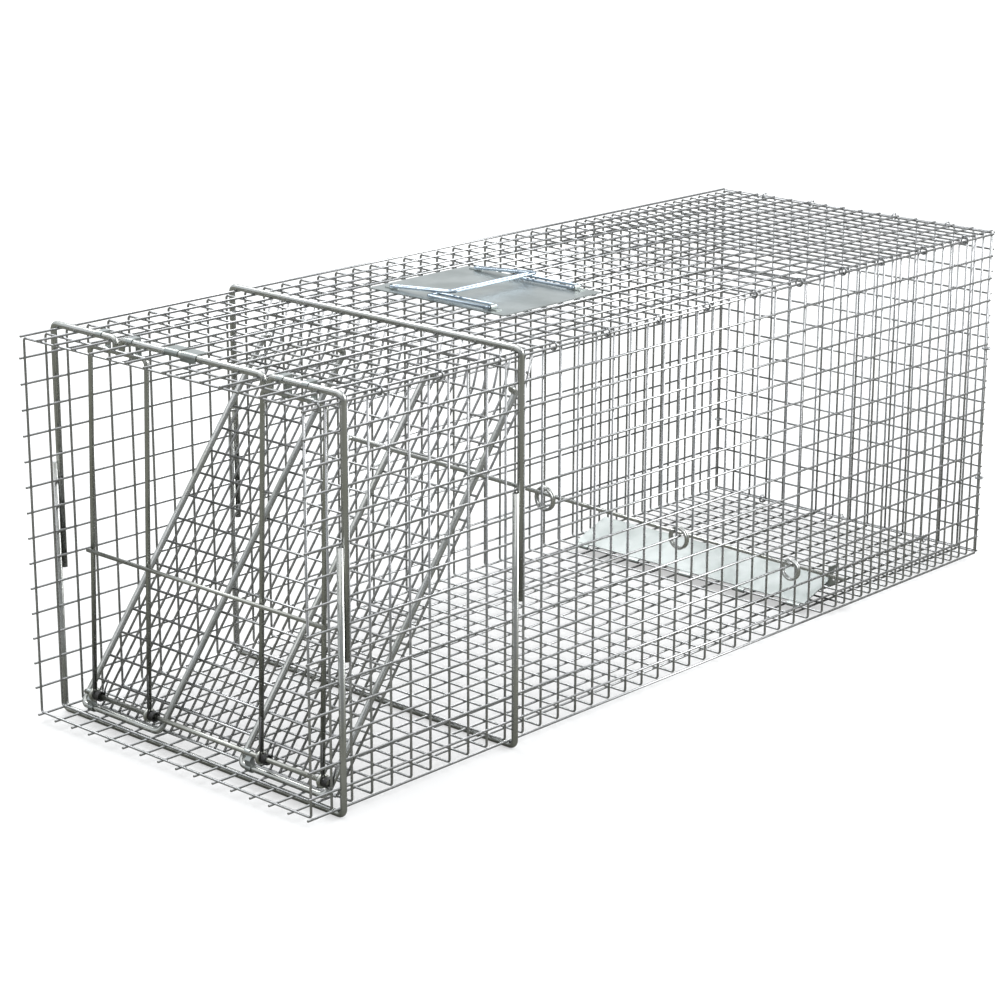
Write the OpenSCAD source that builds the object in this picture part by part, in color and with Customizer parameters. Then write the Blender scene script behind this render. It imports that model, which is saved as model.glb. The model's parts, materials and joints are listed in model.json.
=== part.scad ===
// Live catch trap: a welded mesh cage with one spring-closed slanting door, a folding lock frame,
// a trip pan with its trigger rod, stiffening hoops and a fold-flat carry handle.
// Millimetres. +X is the trap's right as seen from the door, +Y runs back, +Z is up.
// The origin is under the middle of the trap, on the surface that it stands on.

/* [Cage mesh] */
// Pitch of the main mesh
cell = 25.4; // [25:0.1:26]
// Mesh cells across the width
cells_wide = 15; // [15:1:15]
// Main cells along the length, from the door end
front_cells = 31; // [31:1:31]
// Pitch of the closer cross wires around the bait
rear_pitch = 16; // [15.8:0.1:16.2]
// Close cells at the rear end
rear_cells = 17; // [16:1:18]
// Diameter of the mesh wire
wire_d = 2.1; // [1.8:0.1:2.2]
// Height between the floor's and the roof's cross wires
cage_h = 375; // [374:0.5:376]
// Length of the wire tips in front of the first cross wire
tip = 4.3; // [3:0.1:5]

/* [Hoops] */
// Diameter of the hoop rod
hoop_d = 6.35; // [6:0.05:6.5]
// Front hoop's lower half, behind the first cross wire
front_hoop = 34; // [33.5:0.1:34.2]
// Middle hoop's lower half, behind the first cross wire
middle_hoop = 261; // [258:1:264]
// Sideways place of the two dips in the front hoop
dip_x = 101; // [100:0.5:102]
// Height at which the upper halves end
upper_end = 148; // [140:1:160]
// Height at which the lower halves end
lower_end = 255; // [240:1:262]

/* [Door] */
// Slope of the door, up from level
door_slope = 52.5; // [52.5:0.1:52.5]
// Slope of the short bent strip along the door's top
flange_slope = 72; // [72:0.1:72]
// Length of that strip, up to the roof wire above it
flange_len = 51; // [50:0.5:51.5]
// Rows of mesh down the door
door_rows = 16; // [16:1:16]
// Pitch of the wires that run down the door
door_pitch = 12.7; // [12.7:0.1:12.7]
// Wires that run down the door
door_wires = 29; // [29:2:29]
// Sideways place of the outer legs of the door rods
rod_outer = 171.45; // [171:0.1:172]
// Sideways place of the inner legs of the door rods
rod_inner = 57.15; // [56.5:0.1:58]

/* [Lock frame] */
// Diameter of the lock frame's rods
lock_d = 4.76; // [4.6:0.02:4.8]
// How far the loosely hung lock frame sits to the right
lock_shift = 10; // [8:0.5:10]
// Middle of each lock arm, from the lock frame's own middle
arm_x = 119.4; // [119:0.1:120]
// Half the spread of an arm's two legs
arm_half = 40.6; // [40:0.1:41]
// Height of the middle bar above the knee
mid_bar_up = 147; // [140:1:155]

/* [Trip pan] */
// Half the width of the pan
pan_half = 165; // [160:1:167]
// Depth of the pan's tread
pan_depth = 53; // [50:1:54]
// Tilt of the pan at rest
pan_tilt = 20; // [18:0.5:21]
// Thickness of the sheet metal
sheet = 1.2; // [1:0.1:1.4]

/* [Trigger rod] */
// Diameter of the trigger rod
trigger_d = 4; // [3.6:0.1:4.2]
// Sideways place of the rod, between the door's edge and the wall
trigger_x = 184.5; // [184:0.1:185]
// Fall of the rod towards the pan
trigger_fall = 22.64; // [22.6:0.01:22.7]

/* [Carry handle] */
// Width of the guard plate
plate_w = 185; // [180:1:190]
// Depth of the guard plate
plate_l = 145; // [142:1:150]
// Half the distance between the handle's arms
grip_half = 62; // [61:0.5:63]
// Length of the handle's arms
handle_arm = 81; // [80:0.5:82]
// Diameter of the handle's wire
handle_d = 3; // [2.8:0.1:3]
// Distance between the grip's two wires
grip_gap = 8; // [7:0.5:9]

/* [Hidden] */
$fn = 32;

air = 0.05;                                  // gap between pieces that rest on each other
wire_r = wire_d / 2;
layer = wire_d + air;                        // from one layer of mesh wires to the next
half_w = cells_wide * cell / 2;
front_len = front_cells * cell;
mesh_len = front_len + rear_cells * rear_pitch;
ring_mean = 4.2;                             // hog ring's radius, to its wire's middle
ring_d = 2;
ring_out = ring_mean + ring_d / 2;
rear_gap = 0.2;
rear_upright = mesh_len + wire_r + rear_gap + wire_r;
rear_level = rear_upright + layer;
rear_ring = (mesh_len + rear_level) / 2;
first_y = -(rear_ring + ring_out - tip) / 2; // the first cross wire; all other places count from it

hoop_r = hoop_d / 2;
floor_z = hoop_d + air + wire_r + layer;
roof_z = floor_z + cage_h;
hoop_top = roof_z + layer + wire_r + air + hoop_r;
hoop_x = half_w + layer + wire_r + air + hoop_r;
hoop_bend = 6;
hoop_step = hoop_d + 0.15;                   // the two halves lie side by side
dip_bend = 4.4;
dip_turn = 5;
dip_depth = 13.2;

hinge_wire = 12;                             // the roof's cross wire over the door's top edge
bend_y = hinge_wire * cell - flange_len * cos(flange_slope);
bend_z = roof_z - flange_len * sin(flange_slope);
door_len = door_rows * cell;
door_half = (door_wires - 1) / 2 * door_pitch;
rod_lift = wire_r + air + hoop_r;            // door rod above the door's cross wires
rod_bend = 7;
foot_rod = -door_len - 3.6;

lock_r = lock_d / 2;
knee_lift = rod_lift + 11;
knee_down = -399;
knee_y = bend_y + knee_down * cos(door_slope) - knee_lift * sin(door_slope);
knee_z = bend_z + knee_down * sin(door_slope) + knee_lift * cos(door_slope);
pivot_y = front_hoop + hoop_step + hoop_r + air + lock_r;
pivot_z = 376;
arm_len = norm([pivot_y - knee_y, pivot_z - knee_z]);
arm_lean = atan2(pivot_y - knee_y, pivot_z - knee_z);
arm_bend = 6;
eye_mean = lock_r + 0.02 + lock_r;
strap_t = 0.7;
leg_xs = [for (side = [-1, 1]) for (leg = [-1, 1]) lock_shift + side * arm_x + leg * arm_half];

spring_wire = 1.6;
spring_mean = 4.4;
spring_turns = 3.5;
spring_steps = 14;                           // rings of points in one turn
spring_sides = 6;

trigger_front = [61.5, 345.8];               // place and height of the rod's front end
trigger_len = 813.2;
guide_mean = 11;
guide_d = 2.8;
guides = [[310, 237], [513, 151.5], [704, 72]];

pan_y = 30 * cell;
pan_t = 1.5;
tab_y = 812;
tab_x = pan_half + 4.2;

plate_mid = [-6.5, 436.5];
plate_z = roof_z + layer + wire_r + air;
hinge_z = plate_z + sheet + 2.65;
left_hinge = -78;
right_hinge = 60;
handle_r = handle_d / 2;
arm_rise = asin(6.2 / handle_arm);
handle_mid = 438.5;
arm_gap = 2.8;
link_gap = 7;
pin_bend = 2;

function front_y(k) = k * cell;
function cross_ys() = concat(
    [for (k = [0 : front_cells]) k * cell],
    [for (k = [1 : rear_cells]) front_len + k * rear_pitch]
);

// A round bar along X, Y or Z, from one coordinate to another.
module bar_x(d, from, to, y, z) translate([from, y, z]) rotate([0, 90, 0]) cylinder(d = d, h = to - from);
module bar_y(d, from, to, x, z) translate([x, from, z]) rotate([-90, 0, 0]) cylinder(d = d, h = to - from);
module bar_z(d, from, to, x, y) translate([x, y, from]) cylinder(d = d, h = to - from);

// A quarter turn of round bar in the XY plane about the origin, from +X to +Y.
module quarter(d, bend, turn = 90) rotate_extrude(angle = turn) translate([bend, 0]) circle(d = d);

// A ring of round wire: its plane is across the named axis.
module ring_about_y(d, mean) rotate([90, 0, 0]) rotate_extrude() translate([mean, 0]) circle(d = d);
module ring_about_x(d, mean) rotate([0, 90, 0]) rotate_extrude() translate([mean, 0]) circle(d = d);
module ring_about_z(d, mean) rotate_extrude() translate([mean, 0]) circle(d = d);

// An inverted U in the XZ plane: legs at x = -half and half, crown at z = 0, legs down to z = foot.
module upright_u(d, half, bend, foot) {
    bar_x(d, bend - half, half - bend, 0, 0);
    for (side = [0, 1]) mirror([side, 0, 0]) {
        translate([half - bend, 0, -bend]) rotate([90, 0, 0]) quarter(d, bend);
        bar_z(d, foot, -bend, half, 0);
    }
}

// Everything that counts from the cage's first cross wire.
module from_first_wire() translate([0, first_y, 0]) children();

// The door's own frame: Y runs up the door from its bend, Z points out of its front face.
module on_door() from_first_wire() translate([0, bend_y, bend_z]) rotate([door_slope, 0, 0]) children();
module on_flange() from_first_wire() translate([0, bend_y, bend_z]) rotate([flange_slope, 0, 0]) children();

// The lock frame's own frame: Z runs up the arms from the knee.
module on_lock() from_first_wire() translate([0, knee_y, knee_z]) rotate([-arm_lean, 0, 0]) children();

// ---- cage ----
module flat_panel(z, out) {
    for (y = cross_ys()) bar_x(wire_d, wire_r + air - half_w, half_w - wire_r - air, y, z);
    for (k = [0 : cells_wide]) bar_y(wire_d, -tip, mesh_len + wire_r, k * cell - half_w, z + out * layer);
}

module side_panel(side, levels) {
    for (y = cross_ys()) bar_z(wire_d, floor_z - wire_r, roof_z + wire_r, side * half_w, y);
    for (z = levels) bar_y(wire_d, -tip, mesh_len + wire_r, side * (half_w + layer), z);
}

module cage_roof() color("silver") from_first_wire() flat_panel(roof_z, 1);
module cage_floor() color("silver") from_first_wire() flat_panel(floor_z, -1);
module cage_left_wall() color("silver") from_first_wire()
    side_panel(-1, [for (k = [1 : 14]) floor_z + k * cell]);
module cage_right_wall() color("silver") from_first_wire()
    side_panel(1, concat([for (k = [0 : 13]) floor_z + 18.3 + k * cell], [roof_z - 1.5]));

module rear_panel() color("silver") from_first_wire() {
    for (k = [0 : cells_wide]) bar_z(wire_d, floor_z - wire_r, roof_z + wire_r, k * cell - half_w, rear_upright);
    for (z = concat([for (k = [0 : 14]) floor_z + k * cell], [roof_z]))
        bar_x(wire_d, -half_w - wire_r, half_w + wire_r, rear_level, z);
}

// ---- hoops ----
module front_hoop_upper() color("lightsteelblue") from_first_wire() translate([0, front_hoop + hoop_step, 0]) {
    turn = dip_bend + dip_turn;
    bar_x(hoop_d, turn - dip_x, dip_x - turn, 0, hoop_top);
    for (side = [0, 1]) mirror([side, 0, 0]) {
        bar_x(hoop_d, dip_x + turn, hoop_x - hoop_bend, 0, hoop_top);
        translate([hoop_x - hoop_bend, 0, hoop_top - hoop_bend]) rotate([90, 0, 0]) quarter(hoop_d, hoop_bend);
        bar_z(hoop_d, upper_end, hoop_top - hoop_bend, hoop_x, 0);
        for (way = [0, 1]) translate([dip_x, 0, 0]) mirror([way, 0, 0]) {
            translate([turn, 0, hoop_top - dip_turn]) rotate([90, 0, 0]) rotate([0, 0, 90])
                quarter(hoop_d, dip_turn);
            bar_z(hoop_d, hoop_top - dip_depth + dip_bend, hoop_top - dip_turn, dip_bend, 0);
            translate([0, 0, hoop_top - dip_depth + dip_bend]) rotate([90, 0, 0]) rotate([0, 0, -90])
                quarter(hoop_d, dip_bend);
        }
    }
}

module middle_hoop_upper() color("lightsteelblue") from_first_wire()
    translate([0, middle_hoop + hoop_step, hoop_top])
        upright_u(hoop_d, hoop_x, hoop_bend, upper_end - hoop_top);

module lower_hoop(y) from_first_wire() translate([0, y, hoop_r]) mirror([0, 0, 1])
    upright_u(hoop_d, hoop_x, hoop_bend, hoop_r - lower_end);

module front_hoop_lower() color("lightslategray") lower_hoop(front_hoop);
module middle_hoop_lower() color("lightslategray") lower_hoop(middle_hoop);

// Folded sheet saddles over the middle of the front hoop: each has a flat tongue behind, and a skirt in front.
module hoop_saddles() color("gainsboro") from_first_wire() translate([0, front_hoop + hoop_step, hoop_top])
    for (saddle = [[-33, 18, 0.1], [-10, 20.5, 5]]) translate([saddle[0], 0, 0]) rotate([90, 0, 90])
        linear_extrude(saddle[1]) difference() {
            inside = hoop_r + 0.05;
            union() {
                circle(r = inside + strap_t);
                translate([0, inside]) square([12, strap_t]);
                translate([-inside - strap_t, -saddle[2]]) square([strap_t, saddle[2]]);
            }
            circle(r = inside);
            translate([-inside, -9]) square([2 * inside + 3, 9]);
        }

// ---- hog rings ----
module seam_rings() color("gainsboro") from_first_wire() {
    ys = concat([for (k = [0 : 10]) 12.7 + 76.2 * k], [for (k = [3.5, 8.5, 13.5]) front_len + k * rear_pitch]);
    for (y = ys) translate([half_w + layer / 2, y, roof_z + (layer - 1.5) / 2]) ring_about_y(ring_d, ring_mean);
}

module rear_rings() color("gainsboro") from_first_wire() {
    for (x = [-130, -60, 57, 130]) translate([x, rear_ring, roof_z]) ring_about_x(ring_d, ring_mean);
    for (x = [-120, 0, 120]) translate([x, rear_ring, floor_z]) ring_about_x(ring_d, ring_mean);
    for (side = [-1, 1]) for (z = [98, 251]) translate([side * half_w, rear_ring, z]) ring_about_z(ring_d, ring_mean);
}

module trigger_rings() color("lightslategray") from_first_wire()
    for (g = guides) translate([half_w - 2.1, g[0], g[1]]) ring_about_y(guide_d, guide_mean);

// ---- lock frame ----
// Sheet straps over the front hoop carry the lock arms' cross pieces.
module lock_hinge_straps() color("lightgray") from_first_wire() {
    hoop_mid = [front_hoop + hoop_step, hoop_top];
    outer = lock_r + 0.07 + strap_t;
    for (x = [-127, -83, 120, 152.4]) translate([x - 4, 0, 0]) rotate([90, 0, 90]) linear_extrude(8)
        difference() {
            union() {
                translate([pivot_y, pivot_z]) circle(r = outer);
                translate([pivot_y + lock_r + 0.07, pivot_z]) square([strap_t, hoop_top - pivot_z]);
                translate(hoop_mid) circle(r = hoop_r + 0.05 + strap_t);
                translate([hoop_mid[0], hoop_top])
                    square([pivot_y + outer - hoop_mid[0], hoop_r + 0.05 + strap_t]);
            }
            translate([pivot_y, pivot_z]) circle(r = lock_r + 0.07);
            translate(hoop_mid) circle(r = hoop_r + 0.05);
            translate([hoop_mid[0] - 6, hoop_top - 6]) square([6 + pivot_y + lock_r + 0.07 - hoop_mid[0], 6]);
        }
}

module lock_arm(mid) on_lock() translate([mid, 0, 0]) {
    translate([0, 0, arm_len]) upright_u(lock_d, arm_half, arm_bend, eye_mean - arm_len);
    for (side = [-1, 1]) translate([side * arm_half, 0, 0]) ring_about_x(lock_d, eye_mean);
}

module lock_arm_left() color("darkgray") lock_arm(lock_shift - arm_x);
module lock_arm_right() color("darkgray") lock_arm(lock_shift + arm_x);

module lock_mid_bar() color("darkgray") on_lock()
    bar_x(4, leg_xs[0] - 3, leg_xs[3] + 3, -lock_r - 2 - air, mid_bar_up);

module lock_crossbar() color("silver") on_lock() bar_x(lock_d, leg_xs[0] - 14, leg_xs[3] + 7, 0, 0);

// One spring: a coil on the crossbar, a leg up the lock arm and a short leg against the door.
function spring_path() = concat(
    [[0, -spring_mean - 0.6, 42], [0, -spring_mean - 0.3, 20]],
    [for (k = [0 : spring_turns * spring_steps]) let (a = 180 + 360 * k / spring_steps)
        [1.75 * k / spring_steps, spring_mean * cos(a), spring_mean * sin(a)]],
    [[1.75 * spring_turns, spring_mean + 0.8, 6], [1.75 * spring_turns, spring_mean + 5, 15]]
);
function unit(v) = v / norm(v);
function heading(p, k) = unit(p[min(k + 1, len(p) - 1)] - p[max(k - 1, 0)]);
function ring_points(p, k, r, sides) =
    let (t = heading(p, k), side = unit(cross(t, abs(t[0]) > 0.9 ? [0, 1, 0] : [1, 0, 0])), top = cross(side, t))
    [for (n = [0 : sides - 1]) p[k] + r * (cos(360 * n / sides) * side + sin(360 * n / sides) * top)];

module swept_wire(p, r, sides) {
    last = len(p) - 1;
    points = [for (k = [0 : last]) each ring_points(p, k, r, sides)];
    walls = [for (k = [0 : last - 1]) for (n = [0 : sides - 1]) let (m = (n + 1) % sides)
        [k * sides + n, (k + 1) * sides + n, (k + 1) * sides + m, k * sides + m]];
    start = [[for (n = [0 : sides - 1]) n]];
    end = [[for (n = [sides - 1 : -1 : 0]) last * sides + n]];
    polyhedron(points, concat(walls, start, end));
}

module lock_springs() color("dimgray") on_lock()
    for (x = leg_xs) translate([x + lock_r + 1.2, 0, 0]) swept_wire(spring_path(), spring_wire / 2, spring_sides);

// ---- door ----
module door_mesh() color("gray") {
    on_door() {
        for (k = [0 : door_rows]) bar_x(wire_d, -door_half - 1, door_half + 1, -k * cell, 0);
        for (k = [0 : door_wires - 1]) bar_y(wire_d, -door_len, 0, k * door_pitch - door_half, -layer);
    }
    on_flange() {
        for (y = [cell, flange_len - 4.5]) bar_x(wire_d, -door_half - 1, door_half + 1, y, 0);
        for (k = [0 : door_wires - 1]) bar_y(wire_d, 0, flange_len - 3.6, k * door_pitch - door_half, -layer);
    }
}

module door_rod() on_door() {
    half = (rod_outer - rod_inner) / 2;
    translate([(rod_outer + rod_inner) / 2, 0, rod_lift]) {
        bar_x(hoop_d, rod_bend - half, half - rod_bend, foot_rod, 0);
        for (side = [0, 1]) mirror([side, 0, 0]) {
            translate([half - rod_bend, foot_rod + rod_bend, 0]) rotate([0, 0, -90]) quarter(hoop_d, rod_bend);
            bar_y(hoop_d, foot_rod + rod_bend, 0, half, 0);
            translate([half, 0, -rod_lift]) rotate([0, -90, 0]) quarter(hoop_d, rod_lift, 140);
        }
    }
}

module door_rod_right() color("slategray") door_rod();
module door_rod_left() color("slategray") mirror([1, 0, 0]) door_rod();

// Clips on the door's foot rods end in open hooks. The crossbar sits in them and leaves down the door.
module door_hinge_clips() color("lightsteelblue") on_door()
    for (x = [-160, 68]) translate([x, 0, 0]) rotate([90, 0, 90]) linear_extrude(7) difference() {
        knee = [knee_down, knee_lift];
        foot = [foot_rod, rod_lift];
        away = knee - foot;
        union() {
            translate(knee) circle(r = lock_r + 1.3);
            translate(foot) circle(r = hoop_r + 1.1);
            translate(foot) rotate([0, 0, atan2(away[1], away[0])]) translate([0, -3.2]) square([norm(away), 6.4]);
        }
        translate(knee) circle(r = lock_r + 0.07);
        translate(knee) translate([-9, -lock_r - 0.07]) square([9, 9]);
        translate(foot) circle(r = hoop_r + 0.03);
        translate([foot_rod - 9, wire_r - 9]) square([18, 9.05]);
    }

// ---- trip pan and trigger ----
module on_pan() from_first_wire() translate([0, pan_y, floor_z]) rotate([pan_tilt, 0, 0]) children();

module trip_pan() color("gainsboro") {
    on_pan() {
        translate([-pan_half, 3.2, pan_t]) cube([2 * pan_half, pan_depth, sheet]);
        translate([-pan_half, 3.2 + pan_depth, pan_t - 6]) cube([2 * pan_half, sheet, 6 + sheet]);
    }
    from_first_wire() difference() {
        union() {
            translate([tab_x - sheet / 2, tab_y - 10, 25]) cube([sheet, 18, 22]);
            translate([pan_half - 1, tab_y - 10, 25]) cube([tab_x - pan_half + 1, 14, sheet]);
        }
        translate([tab_x - 2, tab_y, trigger_front[1] - (tab_y - trigger_front[0]) * tan(trigger_fall)])
            rotate([-trigger_fall, 0, 0]) translate([0, -trigger_d / 2 - 1.3, -trigger_d / 2 - 1.3])
                cube([4, trigger_d + 2.6, trigger_d + 9.2]);
    }
}

// Rolled knuckles on the pan's front edge turn on a cross wire of the floor.
module trip_pan_hinges() color("gainsboro") on_pan()
    for (x = [-152.4, -76.2, 0, 76.2, 152.4]) translate([x - 8, 0, 0]) rotate([90, 0, 90]) linear_extrude(16)
        difference() {
            union() {
                circle(r = wire_r + 0.08 + sheet);
                translate([0, wire_r + 0.08]) square([3.1, sheet]);
            }
            circle(r = wire_r + 0.08);
        }

module trigger_rod() color("slategray") from_first_wire()
    translate([trigger_x, trigger_front[0], trigger_front[1]]) rotate([-trigger_fall, 0, 0]) {
        bend = 5;
        bar_y(trigger_d, 0, trigger_len - bend, 0, 0);
        translate([0, 0, -bend]) rotate([0, 90, 0]) rotate([0, 0, 90]) quarter(trigger_d, bend, 150);
        translate([-bend, trigger_len - bend, 0]) quarter(trigger_d, bend);
        bar_x(trigger_d, tab_x - trigger_x - 4, -bend, trigger_len, 0);
    }

// ---- carry handle ----
module handle_plate() color("gainsboro") from_first_wire()
    translate([plate_mid[0] - plate_w / 2, plate_mid[1] - plate_l / 2, plate_z]) cube([plate_w, plate_l, sheet]);

module strap(wide) rotate([90, 0, 0]) linear_extrude(wide, center = true) difference() {
    union() {
        circle(r = handle_r + 1.1);
        translate([-9, -2.6]) square([18, 1]);
    }
    circle(r = handle_r + 0.07);
}

module handle_straps() color("silver") from_first_wire()
    for (side = [-1, 1]) translate([0, handle_mid + side * grip_half, hinge_z]) {
        translate([left_hinge, 0, 0]) strap(2);
        translate([right_hinge, 0, 0]) strap(8);
    }

// The hinge end of a hairpin of wire: a short bar on the Y axis and two bends towards +X.
module hairpin_end(gap) {
    bar_y(handle_d, pin_bend - gap, gap - pin_bend, 0, 0);
    for (side = [0, 1]) mirror([0, side, 0]) translate([pin_bend, gap - pin_bend, 0]) rotate([0, 0, 90])
        quarter(handle_d, pin_bend);
}

// The bail is one closed wire: a hairpin for each arm, running on into the grip's two wires.
module handle_bail() color("lightsteelblue") from_first_wire() translate([left_hinge, handle_mid, hinge_z])
    rotate([0, -arm_rise, 0]) {
        inner_bend = 3;
        outer_bend = inner_bend + 2 * arm_gap;
        inner = grip_half - arm_gap;
        outer = grip_half + arm_gap;
        far = handle_arm + grip_gap / 2;
        near = handle_arm - grip_gap / 2;
        for (side = [0, 1]) mirror([0, side, 0]) {
            translate([0, grip_half, 0]) hairpin_end(arm_gap);
            bar_x(handle_d, pin_bend, far - outer_bend, outer, 0);
            bar_x(handle_d, pin_bend, near - inner_bend, inner, 0);
            translate([far - outer_bend, outer - outer_bend, 0]) quarter(handle_d, outer_bend);
            translate([near - inner_bend, inner - inner_bend, 0]) quarter(handle_d, inner_bend);
        }
        bar_y(handle_d, outer_bend - outer, outer - outer_bend, far, 0);
        bar_y(handle_d, inner_bend - inner, inner - inner_bend, near, 0);
    }

module handle_links() color("lightsteelblue") from_first_wire()
    for (side = [-1, 1]) translate([right_hinge, handle_mid + side * grip_half, hinge_z]) mirror([1, 0, 0]) {
        hairpin_end(link_gap);
        translate([handle_arm, 0, 0]) mirror([1, 0, 0]) hairpin_end(link_gap);
        for (leg = [-1, 1]) bar_x(handle_d, pin_bend, handle_arm - pin_bend, leg * link_gap, 0);
    }

cage_roof();
cage_floor();
cage_left_wall();
cage_right_wall();
rear_panel();
front_hoop_upper();
front_hoop_lower();
middle_hoop_upper();
middle_hoop_lower();
hoop_saddles();
seam_rings();
rear_rings();
trigger_rings();
lock_hinge_straps();
handle_plate();
handle_straps();
handle_bail();
handle_links();
lock_arm_left();
lock_arm_right();
lock_mid_bar();
lock_crossbar();
lock_springs();
door_mesh();
door_rod_left();
door_rod_right();
door_hinge_clips();
trip_pan();
trip_pan_hinges();
trigger_rod();
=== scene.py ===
# %% [markdown]
# # A live catch trap
#
# The trap is a long cage of welded wire with a slanting door at its front end. Nearly all of it is bent
# wire and rod, so this lesson makes one tool, a small wire bender, and uses it for every piece: the net
# of the cage, the hoops round it, the door, the lock frame, the trigger rod and the folding handle.

# %% Load the frame
import json
from math import atan2, cos, pi, radians, sin

import bmesh
import bpy
from mathutils import Matrix, Vector


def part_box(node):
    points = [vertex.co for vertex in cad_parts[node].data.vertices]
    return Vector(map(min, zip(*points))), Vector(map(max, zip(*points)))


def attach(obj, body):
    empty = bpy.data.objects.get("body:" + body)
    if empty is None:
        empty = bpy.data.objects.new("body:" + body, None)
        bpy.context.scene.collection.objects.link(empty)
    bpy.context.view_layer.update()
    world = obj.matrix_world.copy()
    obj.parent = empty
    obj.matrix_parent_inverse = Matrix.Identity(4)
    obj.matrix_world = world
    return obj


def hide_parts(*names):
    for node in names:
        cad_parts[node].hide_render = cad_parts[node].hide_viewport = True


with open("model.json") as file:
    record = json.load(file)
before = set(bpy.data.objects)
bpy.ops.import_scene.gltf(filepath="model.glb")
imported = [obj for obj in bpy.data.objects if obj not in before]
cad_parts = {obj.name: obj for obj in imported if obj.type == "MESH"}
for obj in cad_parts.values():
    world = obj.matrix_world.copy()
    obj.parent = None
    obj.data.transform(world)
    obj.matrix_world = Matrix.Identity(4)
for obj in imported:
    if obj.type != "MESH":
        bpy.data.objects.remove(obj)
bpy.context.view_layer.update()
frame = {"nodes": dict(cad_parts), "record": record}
MM = 0.001

# %% [markdown]
# ## Where things are
#
# The frame gives the box of every part, in metres. The first cross wire of the cage, the height of the
# floor's and the roof's cross wires and the inside half width come from those boxes. All other places
# count from them. A welded crossing is pressed together, so the net's wires are drawn a little thicker
# than the frame's, which are kept apart, and sink into each other where they cross.

# %% Places and sizes
WIRE_R = 1.05 * MM
DRAWN_R = 1.2 * MM
LAYER = 2.15 * MM
CELL = 25.4 * MM
REAR_PITCH = 16 * MM
FRONT_CELLS = 31
REAR_CELLS = 17
TIP = 4.3 * MM

roof_low, roof_high = (Vector(c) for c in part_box("cage_roof"))
rear_low, rear_high = (Vector(c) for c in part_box("rear_panel"))
first_y = roof_low.y + TIP
half_w = rear_high.x - WIRE_R
floor_z = rear_low.z + WIRE_R
roof_z = rear_high.z - WIRE_R
mesh_len = FRONT_CELLS * CELL + REAR_CELLS * REAR_PITCH
print("net:", round(2 * half_w, 4), "wide,", round(mesh_len, 4), "long,", round(roof_z - floor_z, 4), "high")

# %% [markdown]
# ## The wire bender
#
# A real rod is fed forward and bent round a pin, again and again. The same two moves make it here: a run
# is an extrude of the rod's end ring, and a bend is a spin of that ring about the pin. Moves are a number
# for a run, or (degrees, axis, pin radius, rise) for a bend, so a list of moves reads like a bending plan.
# A sweep along a curve object would also do, but then each corner's radius is harder to state.

# %% Bend a rod
X, Y, Z = Vector((1, 0, 0)), Vector((0, 1, 0)), Vector((0, 0, 1))
BEND_STEP = 15  # degrees of a bend per ring of faces


def bend(degrees, axis, pin, rise=0.0):
    return degrees, Vector(axis), pin, rise


def add_rod(bm, radius, start, heading, moves, place=None, sides=12):
    rod = bmesh.new()
    at, way = Vector(start), Vector(heading).normalized()
    turn = way.to_track_quat("Z", "Y").to_matrix().to_4x4()
    bmesh.ops.create_circle(rod, cap_ends=False, segments=sides, radius=radius,
                            matrix=Matrix.Translation(at) @ turn)
    end = list(rod.edges)
    for move in moves:
        if isinstance(move, tuple):
            degrees, axis, pin, rise = move
            steps = max(2, round(degrees / BEND_STEP))
            centre = at + axis.cross(way) * pin
            spun = bmesh.ops.spin(rod, geom=end, cent=centre, axis=axis, dvec=axis * rise / steps,
                                  angle=radians(degrees), steps=steps, use_merge=False,
                                  use_normal_flip=False, use_duplicate=False)
            end = [g for g in spun["geom_last"] if isinstance(g, bmesh.types.BMEdge)]
            swing = Matrix.Rotation(radians(degrees), 3, axis)
            at = centre + swing @ (at - centre) + axis * rise
            way = swing @ way
        else:
            grown = bmesh.ops.extrude_edge_only(rod, edges=end)["geom"]
            ring = [g for g in grown if isinstance(g, bmesh.types.BMVert)]
            end = [g for g in grown if isinstance(g, bmesh.types.BMEdge) and g.is_boundary]
            bmesh.ops.translate(rod, verts=ring, vec=way * move)
            at = at + way * move
    bmesh.ops.holes_fill(rod, edges=rod.edges, sides=0)
    bmesh.ops.recalc_face_normals(rod, faces=rod.faces)
    if place:
        bmesh.ops.transform(rod, matrix=place, verts=rod.verts)
    for face in rod.faces:
        face.smooth = len(face.verts) == 4
    scrap = bpy.data.meshes.new("scrap")
    rod.to_mesh(scrap)
    rod.free()
    bm.from_mesh(scrap)
    bpy.data.meshes.remove(scrap)


print("bent and straight runs share one function,", add_rod.__name__)

# %% [markdown]
# A ring is one bend of nearly a full turn. Its axis gives the way it faces, and the gap is what stays open.

# %% Close a ring
def add_ring(bm, radius, centre, axis, mean, gap=0.0, place=None, sides=10):
    axis = Vector(axis)
    out = axis.orthogonal().normalized()
    way = axis.cross(out)
    add_rod(bm, radius, Vector(centre) + out * mean, way, [bend(360 - gap, axis, mean)], place, sides)


print("rings are bends of up to 360 degrees")

# %% [markdown]
# ## From a mesh to a piece of the trap
#
# Each piece is one object at the origin, with its place in its mesh. It rides on a body of the frame,
# # hides the parts of the frame it stands for, and takes the finish it is given.

# %% Finish a piece
def piece(name, bm, finish, body, slot, *stands_for):
    mesh = bpy.data.meshes.new(name)
    bm.to_mesh(mesh)
    bm.free()
    obj = bpy.data.objects.new(name, mesh)
    bpy.context.scene.collection.objects.link(obj)
    mesh.materials.append(finish)
    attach(obj, body)
    if stands_for:
        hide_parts(*stands_for)
    print(name, len(mesh.polygons), "faces")
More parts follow.
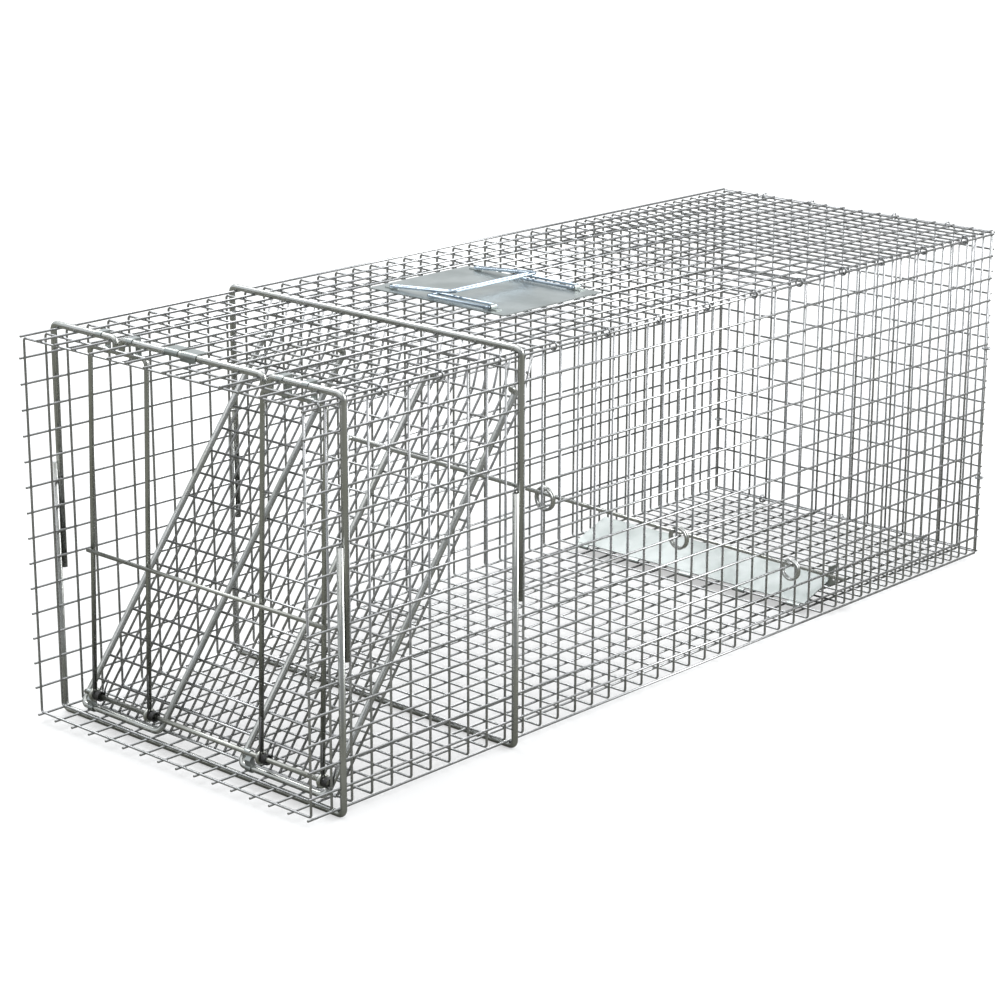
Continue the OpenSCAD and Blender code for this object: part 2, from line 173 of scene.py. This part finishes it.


# %% [markdown]
# ## Finishes
#
# Everything is zinc-coated steel, but the coats differ: the net is a dull grey, the rods are brighter, the
# handle's wires
# # take a faint blue that is a painted reflection of the cool light from above, and the sheet metal has a
# soft spangle. Noise on the object's own coordinates mixes the tones in patches, and a
# second, finer noise varies the roughness. A picture of real zinc would show more, but a noise pattern
# has no seams and holds at any distance.

# %% Zinc
ROUGH_SPREAD = 0.08
GRAIN = 7  # the fine noise's scale against the patches'


def zinc(name, light, dark, rough, patch=60.0):
    mat = bpy.data.materials.new(name)
    mat.use_nodes = True
    nodes, links = mat.node_tree.nodes, mat.node_tree.links
    shader = nodes["Principled BSDF"]
    shader.inputs["Metallic"].default_value = 1.0
    where = nodes.new("ShaderNodeTexCoord")
    patches = nodes.new("ShaderNodeTexNoise")
    patches.inputs["Scale"].default_value = patch
    patches.inputs["Detail"].default_value = 3
    tones = nodes.new("ShaderNodeValToRGB")
    tones.color_ramp.elements[0].position = 0.35
    tones.color_ramp.elements[0].color = (*dark, 1)
    tones.color_ramp.elements[1].position = 0.65
    tones.color_ramp.elements[1].color = (*light, 1)
    grain = nodes.new("ShaderNodeTexNoise")
    grain.inputs["Scale"].default_value = patch * GRAIN
    spread = nodes.new("ShaderNodeMapRange")
    spread.inputs["To Min"].default_value = rough - ROUGH_SPREAD
    spread.inputs["To Max"].default_value = rough + ROUGH_SPREAD
    links.new(where.outputs["Object"], patches.inputs["Vector"])
    links.new(where.outputs["Object"], grain.inputs["Vector"])
    links.new(patches.outputs["Fac"], tones.inputs["Fac"])
    links.new(tones.outputs["Color"], shader.inputs["Base Color"])
    links.new(grain.outputs["Fac"], spread.inputs["Value"])
    links.new(spread.outputs["Result"], shader.inputs["Roughness"])
    return mat


net_zinc = zinc("net_zinc", (0.56, 0.56, 0.57), (0.44, 0.45, 0.45), 0.28)
rod_zinc = zinc("rod_zinc", (0.62, 0.63, 0.62), (0.53, 0.54, 0.51), 0.25, 22)
lock_zinc = zinc("lock_zinc", (0.56, 0.57, 0.54), (0.47, 0.48, 0.44), 0.28, 22)
ring_zinc = zinc("ring_zinc", (0.48, 0.49, 0.50), (0.38, 0.39, 0.40), 0.34)
# Painted reflection: the handle's blue tones stand for the cool sky reflected on its wires, not a colour of
# the zinc.
handle_zinc = zinc("handle_zinc", (0.50, 0.58, 0.66), (0.36, 0.43, 0.50), 0.24)
spring_steel = zinc("spring_steel", (0.16, 0.16, 0.16), (0.09, 0.09, 0.09), 0.4)
sheet_zinc = zinc("sheet_zinc", (0.50, 0.53, 0.52), (0.37, 0.40, 0.39), 0.36, 26)
print(len(bpy.data.materials), "materials")

# %% [markdown]
# ## The cage's net
#
# The cage is one welded net folded round its floor, walls and roof, so a cross wire is a single wire with
# three small bends that starts and ends at the right top edge. The wires that run the cage's length lie
# outside the cross wires. The last 17 rows have a closer pitch.

# %% Cross wires and long wires
CORNER = 2.6 * MM
RIGHT_LIFT = 18.3 * MM
SEAM_DROP = 1.5 * MM
WIRES_ACROSS = 16
cross_ys = [first_y + k * CELL for k in range(FRONT_CELLS + 1)]
cross_ys += [cross_ys[-1] + k * REAR_PITCH for k in range(1, REAR_CELLS + 1)]
wide, high = 2 * half_w, roof_z - floor_z

net = bmesh.new()
for y in cross_ys:
    start = (half_w, y, roof_z + LAYER)
    add_rod(net, DRAWN_R, start, -Z, [high + LAYER - CORNER, bend(90, Y, CORNER), wide - 2 * CORNER,
            bend(90, Y, CORNER), high - 2 * CORNER, bend(90, Y, CORNER), wide - CORNER], sides=8)


def long_wire(bm, x, z):
    add_rod(bm, DRAWN_R, (x, first_y - TIP, z), Y, [mesh_len + TIP + WIRE_R], sides=8)


for k in range(WIRES_ACROSS):
    long_wire(net, k * CELL - half_w, roof_z + LAYER)
    long_wire(net, k * CELL - half_w, floor_z - LAYER)
for k in range(1, 15):
    long_wire(net, -half_w - LAYER, floor_z + k * CELL)
for k in range(14):
    long_wire(net, half_w + LAYER, floor_z + RIGHT_LIFT + k * CELL)
long_wire(net, half_w + LAYER, roof_z - SEAM_DROP)
piece("net_cage", net, net_zinc, "cage", "mesh_wire", "cage_roof", "cage_floor", "cage_left_wall",
      "cage_right_wall")

# %% [markdown]
# The rear end is a flat panel of the same net with square cells, tied on behind the last cross wires. Its
# wires are straight, so each is a single run of the bender.

# %% Rear panel
upright_y = rear_low.y + WIRE_R
level_y = rear_high.y - WIRE_R
rear = bmesh.new()
for k in range(WIRES_ACROSS):
    add_rod(rear, DRAWN_R, (k * CELL - half_w, upright_y, rear_low.z), Z, [high + 2 * WIRE_R], sides=8)
for z in [floor_z + k * CELL for k in range(15)] + [roof_z]:
    add_rod(rear, DRAWN_R, (rear_low.x, level_y, z), X, [wide + 2 * WIRE_R], sides=8)
piece("net_rear", rear, net_zinc, "cage", "mesh_wire", "rear_panel")

# %% [markdown]
# ## Hoops
#
# Two hoops of thick rod stiffen the cage. Each is an upper and a lower U whose legs lie side by side. A
# plain U is two bends between three runs, and its sizes come from the box of its part in the frame.

# %% Plain hoops
HOOP_R = 3.175 * MM
HOOP_BEND = 6 * MM


def add_u(bm, name, radius, pin, rise, sides=20):
    low, high_corner = (Vector(c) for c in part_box(name))
    y = (low.y + high_corner.y) / 2
    x = high_corner.x - radius
    tall = high_corner.z - low.z - radius - pin
    across = 2 * (x - pin)
    if rise:
        moves, start, way = [tall, bend(90, -Y, pin), across, bend(90, -Y, pin), tall], (x, y, low.z), Z
    else:
        moves = [tall, bend(90, Y, pin), across, bend(90, Y, pin), tall]
        start, way = (x, y, high_corner.z), -Z
    add_rod(bm, radius, start, way, moves, sides=sides)


for node, rise in (("front_hoop_lower", False), ("middle_hoop_lower", False), ("middle_hoop_upper", True)):
    hoop = bmesh.new()
    add_u(hoop, node, HOOP_R, HOOP_BEND, rise)
    piece("rod_" + node, hoop, rod_zinc, "cage", "hoop_rod", node)

# %% [markdown]
# The front hoop's upper half has two narrow dips, bent down through the roof, that the lock frame meets.
# A dip is three bends: down, half a turn round, and back to level. Both dips share one list.

# %% The front hoop's upper half with its dips
DIP_X = 101 * MM
DIP_BEND = 4.4 * MM
DIP_TURN = 5 * MM
DIP_DEPTH = 13.2 * MM
hoop_low, hoop_high = (Vector(c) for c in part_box("front_hoop_upper"))
hoop_y = (hoop_low.y + hoop_high.y) / 2
hoop_x = hoop_high.x - HOOP_R
tall = hoop_high.z - hoop_low.z - HOOP_R - HOOP_BEND
shoulder = hoop_x - HOOP_BEND - DIP_X - DIP_BEND - DIP_TURN
dip = [bend(90, -Y, DIP_TURN), DIP_DEPTH - DIP_TURN - DIP_BEND, bend(180, Y, DIP_BEND),
       DIP_DEPTH - DIP_TURN - DIP_BEND, bend(90, -Y, DIP_TURN)]
front = bmesh.new()
add_rod(front, HOOP_R, (hoop_x, hoop_y, hoop_low.z), Z,
        [tall, bend(90, -Y, HOOP_BEND), shoulder, *dip, 2 * (DIP_X - DIP_BEND - DIP_TURN), *dip, shoulder,
         bend(90, -Y, HOOP_BEND), tall], sides=20)
piece("rod_front_hoop_upper", front, rod_zinc, "cage", "hoop_rod", "front_hoop_upper")

# %% [markdown]
# ## The door
#
# The door is a panel of net with wires every half inch, stiffened by two U rods in front of it. Its top
# strip is bent steeper and hangs from a roof wire. The door is easiest to make lying flat, with Y up the
# door and Z out of its front face, and is then placed by one matrix.

# %% The door's own frame
DOOR_TILT, FLANGE_TILT = 52.5, 72
DOOR_SLOPE = radians(DOOR_TILT)
FLANGE_SLOPE = radians(FLANGE_TILT)
FLANGE = 51 * MM
DOOR_ROWS = 16
DOOR_WIRES = 29
DOOR_PITCH = 12.7 * MM
bend_at = Vector((0, first_y + 12 * CELL - FLANGE * cos(FLANGE_SLOPE), roof_z - FLANGE * sin(FLANGE_SLOPE)))
on_door = Matrix.Translation(bend_at) @ Matrix.Rotation(DOOR_SLOPE, 4, "X")
on_flange = Matrix.Translation(bend_at) @ Matrix.Rotation(FLANGE_SLOPE, 4, "X")
door_len = DOOR_ROWS * CELL
door_half = (DOOR_WIRES - 1) / 2 * DOOR_PITCH
print("door:", round(door_len + FLANGE, 4), "long")

# %% [markdown]
# The net's long wires pass the bend into the top strip unbroken, so each is two runs with a bend between.

# %% Door net
EDGE_TIP = 1 * MM
KNEE_EARLY, KNEE_PIN = 1 * MM, 6 * MM
STRIP_TOP, STRIP_SHORT = 4.5 * MM, 4.6 * MM
door = bmesh.new()
edge = door_half + EDGE_TIP
for k in range(DOOR_ROWS + 1):
    add_rod(door, DRAWN_R, (-edge, -k * CELL, 0), X, [2 * edge], on_door, sides=8)
for y in (CELL, FLANGE - STRIP_TOP):
    add_rod(door, DRAWN_R, (-edge, y, 0), X, [2 * edge], on_flange, sides=8)
knee_turn = FLANGE_TILT - DOOR_TILT
for k in range(DOOR_WIRES):
    add_rod(door, DRAWN_R, (k * DOOR_PITCH - door_half, -door_len, -LAYER), Y,
            [door_len - KNEE_EARLY, bend(knee_turn, X, KNEE_PIN), FLANGE - STRIP_SHORT], on_door, sides=8)
piece("net_door", door, net_zinc, "door", "mesh_wire", "door_mesh")

# %% [markdown]
# Each side has one U rod. It starts as a hook round the cross wire at the top strip's bend, runs down the
# door's face, crosses at the foot and comes back up to a second hook, all as one list of moves.

# %% Door rods
ROD_OUTER = 171.45 * MM
ROD_INNER = 57.15 * MM
ROD_BEND = 7 * MM
ROD_PAST = 3.6 * MM
ROD_GAP = 0.05 * MM
HOOK_TURN = 140
rod_lift = WIRE_R + ROD_GAP + HOOP_R
foot = -door_len - ROD_PAST
leg = -foot - ROD_BEND
for side, node in ((1, "door_rod_right"), (-1, "door_rod_left")):
    outer, inner = side * ROD_OUTER, side * ROD_INNER
    left, right = min(outer, inner), max(outer, inner)
    rods = bmesh.new()
    hook = Matrix.Rotation(radians(-HOOK_TURN), 3, "X")
    start = Vector((left, 0, 0)) + hook @ Vector((0, 0, rod_lift))
    add_rod(rods, HOOP_R, start, hook @ -Y, [bend(HOOK_TURN, X, rod_lift), leg, bend(90, Z, ROD_BEND),
            right - left - 2 * ROD_BEND, bend(90, Z, ROD_BEND), leg, bend(HOOK_TURN, X, rod_lift)],
            on_door, sides=20)
    piece("rod_" + node, rods, rod_zinc, "door", "hoop_rod", node)

# %% [markdown]
# ## The lock frame
#
# Two inverted U arms stand in front of the door, joined by a middle bar and by a crossbar at the door's
# foot. The arms' eyes turn on the crossbar, and a torsion spring beside each eye presses against the arm.
# The frame leans back a little, so it is made upright and placed by a matrix of its own.

# %% The lock frame's own frame
LOCK_R = 2.38 * MM
KNEE_DOWN = -399 * MM
KNEE_OUT = 11 * MM
ARM_BEND = 6 * MM
EYE = 2 * LOCK_R + 0.02 * MM
MID_BAR_UP = 147 * MM
MID_BAR_R = 2 * MM
MID_BAR_TIP = 3 * MM
CROSSBAR_LEFT, CROSSBAR_RIGHT = 14 * MM, 7 * MM
arm_boxes = {node: [Vector(c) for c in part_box(node)] for node in ("lock_arm_left", "lock_arm_right")}
knee = on_door @ Vector((0, KNEE_DOWN, rod_lift + KNEE_OUT))
top = Vector((0, arm_boxes["lock_arm_left"][1].y - LOCK_R, arm_boxes["lock_arm_left"][1].z - LOCK_R))
lean = atan2(top.y - knee.y, top.z - knee.z)
arm_len = (top - knee).length
on_lock = Matrix.Translation(knee) @ Matrix.Rotation(-lean, 4, "X")
print("lock frame leans", round(lean * 180 / pi, 2), "degrees")

# %% [markdown]
# An arm is a U with an eye at each end. The eye is a ring of the same rod, centred on the crossbar.

# %% Arms, middle bar and crossbar
leg_xs = []
for node, (low, high_corner) in arm_boxes.items():
    left, right = low.x + LOCK_R, high_corner.x - LOCK_R
    leg_xs += [left, right]
    arm = bmesh.new()
    add_rod(arm, LOCK_R, (left, 0, EYE), Z, [arm_len - EYE - ARM_BEND, bend(90, Y, ARM_BEND),
            right - left - 2 * ARM_BEND, bend(90, Y, ARM_BEND), arm_len - EYE - ARM_BEND], on_lock, sides=16)
    for x in (left, right):
        add_ring(arm, LOCK_R, (x, 0, 0), X, EYE, 8, on_lock, sides=14)
    piece("rod_" + node, arm, lock_zinc, "lock_frame", "lock_rod", node)

bar = bmesh.new()
add_rod(bar, MID_BAR_R, (leg_xs[0] - MID_BAR_TIP, -LOCK_R - MID_BAR_R, MID_BAR_UP), X,
        [leg_xs[3] - leg_xs[0] + 2 * MID_BAR_TIP], on_lock, sides=14)
piece("rod_lock_mid_bar", bar, lock_zinc, "lock_frame", "lock_rod", "lock_mid_bar")
crossbar = bmesh.new()
add_rod(crossbar, LOCK_R, (leg_xs[0] - CROSSBAR_LEFT, 0, 0), X,
        [CROSSBAR_LEFT + leg_xs[3] - leg_xs[0] + CROSSBAR_RIGHT], on_lock, sides=16)
piece("rod_lock_crossbar", crossbar, lock_zinc, "lock_frame", "lock_rod", "lock_crossbar")

# %% [markdown]
# A torsion spring is a coil of thin wire with a long leg. A bend may rise along its axis, so the coil is
# one bend of three and a half turns, with the leg before it and a short bent tail after it.

# %% Torsion springs
SPRING_R = 0.8 * MM
COIL = 4.4 * MM
COIL_PITCH = 1.75 * MM
COIL_TURNS = 3.5
SPRING_LEG = 42 * MM
springs = bmesh.new()
for x in leg_xs:
    add_rod(springs, SPRING_R, (x + LOCK_R + 1.2 * MM, -COIL, SPRING_LEG), -Z,
            [SPRING_LEG, bend(360 * COIL_TURNS, X, COIL, COIL_TURNS * COIL_PITCH), 4 * MM,
             bend(25, -X, 8 * MM), 9 * MM], on_lock, sides=8)
piece("wire_lock_springs", springs, spring_steel, "lock_frame", "spring_wire", "lock_springs")

# %% [markdown]
# ## Trigger rod, rings and handle wires
#
# The trigger rod falls along the right wall through three rings and ends in the trip pan's slot. It is
# made level and then turned down by its fall. A second rod from the same start makes its front hook.

# %% Trigger rod
TRIGGER_R = 2 * MM
TRIGGER_FALL = radians(22.64)
TRIGGER_LEN = 813.2 * MM
TRIGGER_BEND = 5 * MM
TRIGGER_Y, TRIGGER_Z = 61.5 * MM, 345.8 * MM
trigger_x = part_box("trigger_rod")[1][0] - TRIGGER_R
on_trigger = (Matrix.Translation((trigger_x, first_y + TRIGGER_Y, TRIGGER_Z))
              @ Matrix.Rotation(-TRIGGER_FALL, 4, "X"))
toe = trigger_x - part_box("trigger_rod")[0][0] - TRIGGER_BEND
trigger = bmesh.new()
add_rod(trigger, TRIGGER_R, (0, 0, 0), Y, [TRIGGER_LEN - TRIGGER_BEND, bend(90, Z, TRIGGER_BEND), toe],
        on_trigger, sides=14)
add_rod(trigger, TRIGGER_R, (0, 0, 0), -Y, [bend(150, X, TRIGGER_BEND)], on_trigger, sides=14)
piece("rod_trigger", trigger, rod_zinc, "trigger", "lock_rod", "trigger_rod")

# %% [markdown]
# The hog rings that close the seams are short wires bent round until their ends nearly meet. They are
# small and many, so a few faces each are enough.

# %% Hog rings
HOG_R, HOG_MEAN = 1 * MM, 4.2 * MM
HOG_GAP = 15
hogs = bmesh.new()
hog_ys = [CELL * (0.5 + 3 * k) for k in range(11)]
hog_ys += [FRONT_CELLS * CELL + REAR_PITCH * k for k in (3.5, 8.5, 13.5)]
hog_low, hog_high = (Vector(c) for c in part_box("seam_rings"))
hog_x, hog_z = (hog_low.x + hog_high.x) / 2, (hog_low.z + hog_high.z) / 2
for y in hog_ys:
    add_ring(hogs, HOG_R, (hog_x, first_y + y, hog_z), Y, HOG_MEAN, HOG_GAP)
piece("rings_seam", hogs, ring_zinc, "cage", "ring_wire", "seam_rings")

rear_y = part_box("rear_rings")[1][1] - HOG_MEAN - HOG_R
ties = bmesh.new()
for x in (-130, -60, 57, 130):
    add_ring(ties, HOG_R, (x * MM, rear_y, roof_z), X, HOG_MEAN, HOG_GAP)
for x in (-120, 0, 120):
    add_ring(ties, HOG_R, (x * MM, rear_y, floor_z), X, HOG_MEAN, HOG_GAP)
for side in (-1, 1):
    for z in (98, 251):
        add_ring(ties, HOG_R, (side * half_w, rear_y, z * MM), Z, HOG_MEAN, HOG_GAP)
piece("rings_rear", ties, ring_zinc, "cage", "ring_wire", "rear_rings")

# %% [markdown]
# The three rings that carry the trigger rod are wires of nearly two turns, as a key ring is. One bend with
# a small rise makes each.

# %% Guide rings
GUIDE_R, GUIDE_MEAN = 1.4 * MM, 11 * MM
GUIDE_TURN = 700
GUIDE_PITCH = 2.9 * MM
GUIDE_BACK = 1.5 * MM
guide_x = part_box("trigger_rings")[0][0] + GUIDE_R + GUIDE_MEAN
guides = bmesh.new()
for y, z in ((310, 237), (513, 151.5), (704, 72)):
    add_rod(guides, GUIDE_R, (guide_x, first_y + y * MM - GUIDE_BACK, z * MM + GUIDE_MEAN), X,
            [bend(GUIDE_TURN, Y, GUIDE_MEAN, GUIDE_PITCH * GUIDE_TURN / 360)], sides=12)
piece("rings_trigger", guides, rod_zinc, "cage", "ring_wire", "trigger_rings")

# %% [markdown]
# The carry handle's bail is one closed wire. It runs out along one arm, across as the grip, back along
# the other arm, and doubles back on itself, so the grip is two wires side by side. The two links are
# closed loops that fold the other way. Closed loops need no hidden joints between wires.

# %% Bail
HANDLE_R = 1.5 * MM
PIN = 2 * MM
ARM = 81 * MM
ARM_GAP, LINK_GAP, GRIP_GAP, GRIP_HALF = 2.8 * MM, 7 * MM, 8 * MM, 62 * MM
INNER_BEND, OUTER_BEND = 3 * MM, 8.6 * MM
BAIL_HINGE_X, LINK_HINGE_X = -78 * MM, 60 * MM
BAIL_RISE, BAIL_REACH = 6.2 * MM, 80.76 * MM
bail_low, bail_high = (Vector(c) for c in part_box("handle_bail"))
hinge_z = bail_low.z + HANDLE_R
handle_y = (bail_low.y + bail_high.y) / 2
rise = -atan2(BAIL_RISE, BAIL_REACH)
on_bail = Matrix.Translation((BAIL_HINGE_X, handle_y, hinge_z)) @ Matrix.Rotation(rise, 4, "Y")
outer, inner = GRIP_HALF + ARM_GAP, GRIP_HALF - ARM_GAP
far, near = ARM + GRIP_GAP / 2, ARM - GRIP_GAP / 2
pin_end = [bend(90, -Z, PIN), 2 * (ARM_GAP - PIN), bend(90, -Z, PIN)]
bail = bmesh.new()
add_rod(bail, HANDLE_R, (PIN, outer, 0), X,
        [far - OUTER_BEND - PIN, bend(90, -Z, OUTER_BEND), 2 * (outer - OUTER_BEND),
         bend(90, -Z, OUTER_BEND), far - OUTER_BEND - PIN, *pin_end,
         near - INNER_BEND - PIN, bend(90, Z, INNER_BEND), 2 * (inner - INNER_BEND),
         bend(90, Z, INNER_BEND), near - INNER_BEND - PIN, *pin_end], on_bail, sides=14)
piece("wire_handle_bail", bail, handle_zinc, "handle", "handle_wire", "handle_bail")

# %% Links
links = bmesh.new()
for side in (-1, 1):
    on_link = (Matrix.Translation((LINK_HINGE_X, handle_y + side * GRIP_HALF, hinge_z))
               @ Matrix.Rotation(pi, 4, "Z"))
    link_end = [bend(90, -Z, PIN), 2 * (LINK_GAP - PIN), bend(90, -Z, PIN)]
    add_rod(links, HANDLE_R, (PIN, LINK_GAP, 0), X, 2 * [ARM - 2 * PIN, *link_end], on_link, sides=14)
piece("wire_handle_links", links, handle_zinc, "handle_link_pair", "handle_wire", "handle_links")

# %% [markdown]
# ## Sheet parts
#
# The guard plate, the straps, the clips and the trip pan are sheet with a few cuts and bends, and the
# frame's own meshes already have that shape. They keep it and only take a finish.

# %% Finish the frame's own parts
finishes = {"mesh_wire": net_zinc, "hoop_rod": rod_zinc, "lock_rod": lock_zinc, "ring_wire": ring_zinc,
            "handle_wire": handle_zinc, "spring_wire": spring_steel, "sheet_steel": sheet_zinc}
slot_of = {s["node"]: s["material_slot"] for s in frame["record"]["subparts"]}
for node, obj in frame["nodes"].items():
    obj.data.materials.clear()
    obj.data.materials.append(finishes[slot_of[node]])
print(len(frame["nodes"]), "frame parts take a finish")

# %% [markdown]
# ## Studio
#
# The trap stands on a white floor in soft light. Bare zinc shows little but reflections, so the studio is
# laid out for them. Two large, far lamps give the wires a bright line: one up on the left for those that
# run across, one behind on the right for those that run along the cage. The sky is dark on the front
# right, and the floor is dark to reflected rays, which keeps the uprights and the door's rods grey.

# %% Floor
FLOOR_SIZE = 30
WHITE = (1, 1, 1, 1)
floor = bmesh.new()
bmesh.ops.create_grid(floor, x_segments=1, y_segments=1, size=FLOOR_SIZE)
floor_mesh = bpy.data.meshes.new("floor")
floor.to_mesh(floor_mesh)
floor.free()
floor_obj = bpy.data.objects.new("floor", floor_mesh)
bpy.context.scene.collection.objects.link(floor_obj)
paper = bpy.data.materials.new("paper")
paper.use_nodes = True
paper_nodes, paper_links = paper.node_tree.nodes, paper.node_tree.links
paper_shader = paper_nodes["Principled BSDF"]
paper_shader.inputs["Roughness"].default_value = 1.0
paper_shader.inputs["Specular IOR Level"].default_value = 0.0
ray = paper_nodes.new("ShaderNodeLightPath")
tone = paper_nodes.new("ShaderNodeMix")
tone.data_type = "RGBA"
tone.inputs["A"].default_value = (0.50, 0.50, 0.50, 1)
tone.inputs["B"].default_value = (0.20, 0.20, 0.175, 1)
paper_links.new(ray.outputs["Is Glossy Ray"], tone.inputs["Factor"])
paper_links.new(tone.outputs["Result"], paper_shader.inputs["Base Color"])
paper_shader.inputs["Emission Color"].default_value = WHITE
glow = paper_nodes.new("ShaderNodeMath")
glow.operation = "MULTIPLY"
glow.inputs[1].default_value = 0.5
paper_links.new(ray.outputs["Is Camera Ray"], glow.inputs[0])
paper_links.new(glow.outputs["Value"], paper_shader.inputs["Emission Strength"])
floor_mesh.materials.append(paper)
print("floor", 2 * FLOOR_SIZE, "m wide")

# %% [markdown]
# The sky is a ramp over height, times a strength that falls off towards one dark side. Both read the
# direction of the ray, so the sky stays put when the view moves. The plain view transform keeps white
# floors white next to thin wires.

# %% Sky
DARK_SIDE = (0.62, -0.55, 0.50)
world = bpy.data.worlds.new("studio")
world.use_nodes = True
bpy.context.scene.world = world
sky_nodes, sky_links = world.node_tree.nodes, world.node_tree.links
sky_way = sky_nodes.new("ShaderNodeTexCoord")
sky_height = sky_nodes.new("ShaderNodeSeparateXYZ")
sky = sky_nodes.new("ShaderNodeValToRGB")
sky.color_ramp.elements[0].position = 0.0
sky.color_ramp.elements[0].color = (0.42, 0.42, 0.39, 1)
sky.color_ramp.elements[1].position = 0.25
sky.color_ramp.elements[1].color = (0.93, 0.97, 1.0, 1)
sky_links.new(sky_way.outputs["Generated"], sky_height.inputs["Vector"])
sky_links.new(sky_height.outputs["Z"], sky.inputs["Fac"])
sky_links.new(sky.outputs["Color"], sky_nodes["Background"].inputs["Color"])
dark_way = sky_nodes.new("ShaderNodeVectorMath")
dark_way.operation = "DOT_PRODUCT"
dark_way.inputs[1].default_value = Vector(DARK_SIDE).normalized()
dark_side = sky_nodes.new("ShaderNodeMapRange")
dark_side.interpolation_type = "SMOOTHSTEP"
dark_side.inputs["From Min"].default_value = 0.35
dark_side.inputs["From Max"].default_value = 0.85
dark_side.inputs["To Min"].default_value = 0.92
dark_side.inputs["To Max"].default_value = 0.38
sky_links.new(sky_way.outputs["Generated"], dark_way.inputs[0])
sky_links.new(dark_way.outputs["Value"], dark_side.inputs["Value"])
sky_links.new(dark_side.outputs["Result"], sky_nodes["Background"].inputs["Strength"])
bpy.context.scene.view_settings.view_transform = "Standard"
print("sky set, darkest towards", DARK_SIDE)

# %% [markdown]
# Soft light needs large lamps. The two area lamps are far off, so that their reflection lies at the same
# place along the whole cage. The sun has a wide angle and only softens what they leave dark.

# %% Lamps
def lamp(name, at, aim, size, power):
    light = bpy.data.lights.new(name, "AREA")
    light.size = size
    light.energy = power
    obj = bpy.data.objects.new(name, light)
    bpy.context.scene.collection.objects.link(obj)
    turn = (Vector(aim) - Vector(at)).to_track_quat("-Z", "Y")
    obj.matrix_world = Matrix.Translation(at) @ turn.to_matrix().to_4x4()
    print(name, size, "m wide,", power, "W")


lamp("overhead", (-4.2, 0.7, 5.8), (0, 0, 0.2), 2.9, 190)
lamp("side", (3.4, 4.9, 3.4), (0, 0, 0.2), 4.2, 300)
sun = bpy.data.objects.new("soft_sun", bpy.data.lights.new("soft_sun", "SUN"))
sun.data.energy = 1.0
sun.data.angle = radians(70)
sun.matrix_world = Matrix.Rotation(radians(12), 4, "X")
bpy.context.scene.collection.objects.link(sun)

# %% [markdown]
# ## Camera
#
# A long lens looks from the trap's front right, a little above it. The place, the three turns and the lens
# are set as numbers, because a tracking constraint would leave out the small roll.

# %% Camera
camera = bpy.data.objects.new("camera", bpy.data.cameras.new("camera"))
bpy.context.scene.collection.objects.link(camera)
camera.data.sensor_width = 36
camera.data.lens = 98.22
YAW, PITCH, ROLL = 0.743796, 0.292262, 0.002568
camera.matrix_world = (Matrix.Translation((1.8280, -2.0646, 0.9778)) @ Matrix.Rotation(YAW, 4, "Z")
                       @ Matrix.Rotation(pi / 2 - PITCH, 4, "X") @ Matrix.Rotation(ROLL, 4, "Z"))
bpy.context.scene.camera = camera
print("lens", round(camera.data.lens, 2), "mm")
